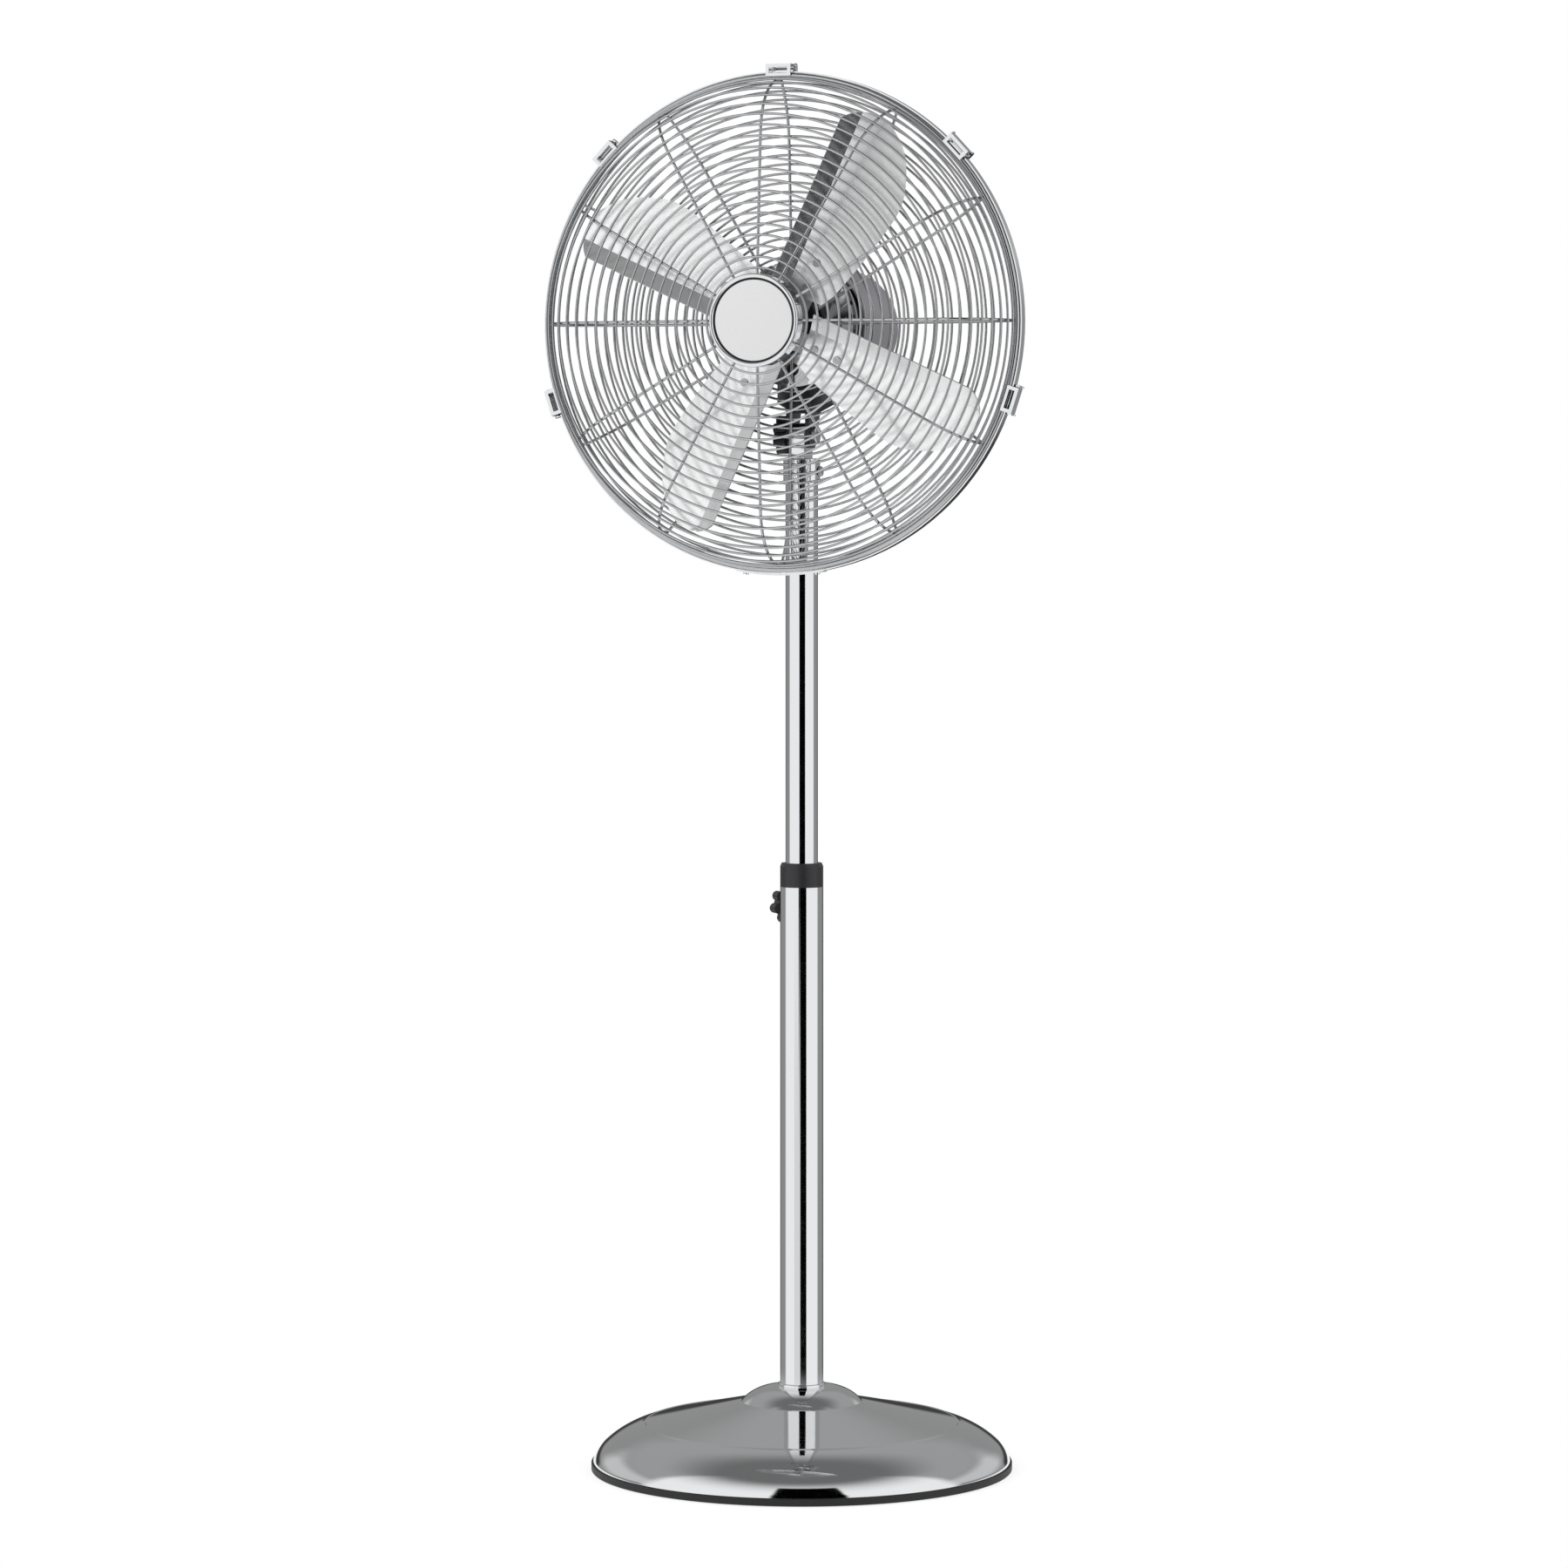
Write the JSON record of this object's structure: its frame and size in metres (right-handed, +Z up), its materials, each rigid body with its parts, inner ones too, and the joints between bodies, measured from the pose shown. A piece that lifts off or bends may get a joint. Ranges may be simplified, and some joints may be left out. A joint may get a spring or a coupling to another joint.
{
  "type": "pedestal fan",
  "caption": "Floor fan with a weighted round base, telescopic column, tilting and swinging motor head, and metal blades in a wire cage.",
  "frame": {"origin": "on the floor under the axis of the column, at the middle of the round base", "axes": "+Z up along the column, the fan blows towards -Y, +X to the right when the fan is seen from the front"},
  "size_m": [0.4614, 0.39, 1.299],
  "materials": {
    "chrome_plate": "polished chrome plate on steel sheet and tube",
    "chrome_wire": "chrome plated steel wire",
    "cast_weight": "plain cast iron",
    "zinc_steel": "zinc plated steel",
    "core_steel": "laminated electrical steel",
    "black_rubber": "black rubber, matt",
    "black_plastic": "black moulded plastic, fine texture",
    "black_paint": "satin black paint",
    "silver_paint": "silver grey paint",
    "blade_metal": "satin aluminium sheet",
    "badge_metal": "fine brushed plate, left bare",
    "cast_metal": "die cast",
    "copper_wire": "enamelled copper windings",
    "bush_plastic": "natural nylon"
  },
  "bodies": {
    "stand": {"base_feet": "black_rubber", "base_plate": "zinc_steel", "base_trim": "black_rubber", "base_weight": "cast_weight", "base_hub": "cast_weight", "base_bolt": "zinc_steel", "base_cover": "chrome_plate", "outer_tube": "chrome_plate", "foot_ring": "chrome_plate", "height_collar": "black_plastic"},
    "lock": {"lock_stud": "zinc_steel", "lock_knob": "black_plastic"},
    "mast": {"inner_tube": "chrome_plate", "inner_tube_bush": "bush_plastic", "neck_socket": "chrome_plate", "socket_screw": "cast_metal", "tilt_bolt": "zinc_steel"},
    "tilt_handle": {"tilt_knob": "black_plastic"},
    "neck": {"neck_bracket": "black_paint", "swivel_bush": "bush_plastic", "link_anchor": "zinc_steel"},
    "link": {"link_rod": "zinc_steel"},
    "head": {"motor_housing": "black_paint", "swivel_arm": "cast_metal", "stator_core": "core_steel", "stator_windings": "copper_wire", "motor_bearings": "zinc_steel", "gearbox_case": "cast_metal", "rear_cover": "silver_paint", "cover_screws": "zinc_steel", "cover_grommet": "black_rubber", "capacitor": "black_plastic", "speed_switch": "black_plastic", "front_grille_spokes": "chrome_wire", "rear_grille_spokes": "chrome_wire", "front_grille_rings": "chrome_wire", "rear_grille_rings": "chrome_wire", "grille_rims": "chrome_wire", "rear_grille_plate": "chrome_plate", "grille_nut": "black_plastic", "badge_bezel": "chrome_plate", "front_badge": "badge_metal", "rim_band": "chrome_plate", "rim_fittings": "chrome_plate"},
    "rotor": {"motor_shaft": "zinc_steel", "rotor_core": "core_steel", "blade_spider": "cast_metal", "blades": "blade_metal", "blade_rivets": "zinc_steel", "spinner_nut": "black_plastic"},
    "worm_gear": {"worm_wheel": "bush_plastic"},
    "pinion": {"pinion_spindle": "zinc_steel"},
    "crank": {"swing_crank": "zinc_steel"},
    "clutch": {"clutch_knob": "black_plastic"},
    "speed": {"speed_knob": "black_plastic"},
    "clip_1": {"rim_clip_1": "chrome_plate"},
    "clip_2": {"rim_clip_2": "chrome_plate"},
    "clip_3": {"rim_clip_3": "chrome_plate"},
    "clip_4": {"rim_clip_4": "chrome_plate"},
    "clip_5": {"rim_clip_5": "chrome_plate"}
  },
  "joints": [
    {"name": "height_slide", "type": "slide", "parent": "stand", "child": "mast", "axis": [0, 0, 1], "range_m": [-0.26, 0.04]},
    {"name": "height_lock_turn", "type": "hinge", "parent": "stand", "child": "lock", "pos_m": [0, 0, 0.521], "axis": [-0.6428, 0.766, 0], "range_deg": [0, 720]},
    {"name": "tilt", "type": "hinge", "parent": "mast", "child": "neck", "pos_m": [0, 0, 0.959], "axis": [-1, 0, 0], "range_deg": [-10, 20]},
    {"name": "tilt_knob_turn", "type": "hinge", "parent": "mast", "child": "tilt_handle", "pos_m": [-0.02, 0, 0.959], "axis": [-1, 0, 0], "range_deg": [0, 360]},
    {"name": "head_swing", "type": "hinge", "parent": "neck", "child": "head", "pos_m": [0, 0.014, 1], "axis": [0, 0, 1], "range_deg": [-40, 40]},
    {"name": "link_swing", "type": "hinge", "parent": "neck", "child": "link", "pos_m": [0.024, 0.014, 1.0045], "axis": [0, 0, 1], "range_deg": [-38, 38]},
    {"name": "crank_turn", "type": "hinge", "parent": "head", "child": "crank", "pos_m": [0, 0.068, 1.02], "axis": [0, 0, 1], "range_deg": [-80, 80]},
    {"name": "pinion_turn", "type": "hinge", "parent": "head", "child": "pinion", "pos_m": [0.018, 0.068, 1.02], "axis": [0, 0, 1], "range_deg": [-280, 280]},
    {"name": "blade_spin", "type": "hinge", "parent": "head", "child": "rotor", "pos_m": [0, -0.07, 1.061], "axis": [0, -1, 0], "continuous": true},
    {"name": "worm_wheel_spin", "type": "hinge", "parent": "head", "child": "worm_gear", "pos_m": [0.018, 0.068, 1.061], "axis": [0, 0, 1], "continuous": true},
    {"name": "clutch_pull", "type": "slide", "parent": "head", "child": "clutch", "axis": [0, 0, 1], "range_m": [0, 0.008]},
    {"name": "speed_turn", "type": "hinge", "parent": "head", "child": "speed", "pos_m": [0, 0.16, 1.053], "axis": [0, 1, 0], "range_deg": [0, 135]},
    {"name": "clip_1_open", "type": "hinge", "parent": "head", "child": "clip_1", "pos_m": [0, -0.057, 1.29555], "axis": [-1, 0, 0], "range_deg": [0, 100]},
    {"name": "clip_2_open", "type": "hinge", "parent": "head", "child": "clip_2", "pos_m": [0.17154, -0.057, 1.22096], "axis": [-0.682, 0, 0.7314], "range_deg": [0, 100]},
    {"name": "clip_3_open", "type": "hinge", "parent": "head", "child": "clip_3", "pos_m": [0.22307, -0.057, 0.98852], "axis": [0.309, 0, 0.9511], "range_deg": [0, 100]},
    {"name": "clip_4_open", "type": "hinge", "parent": "head", "child": "clip_4", "pos_m": [-0.17154, -0.057, 1.22096], "axis": [-0.682, 0, -0.7314], "range_deg": [0, 100]},
    {"name": "clip_5_open", "type": "hinge", "parent": "head", "child": "clip_5", "pos_m": [-0.22307, -0.057, 0.98852], "axis": [0.309, 0, -0.9511], "range_deg": [0, 100]}
  ],
  "couplings": [
    {"joint": "link_swing", "follows": "head_swing", "ratio": 0.94},
    {"joint": "crank_turn", "follows": "head_swing", "ratio": -2},
    {"joint": "pinion_turn", "follows": "head_swing", "ratio": 7},
    {"joint": "worm_wheel_spin", "follows": "blade_spin", "ratio": 0.025}
  ]
}
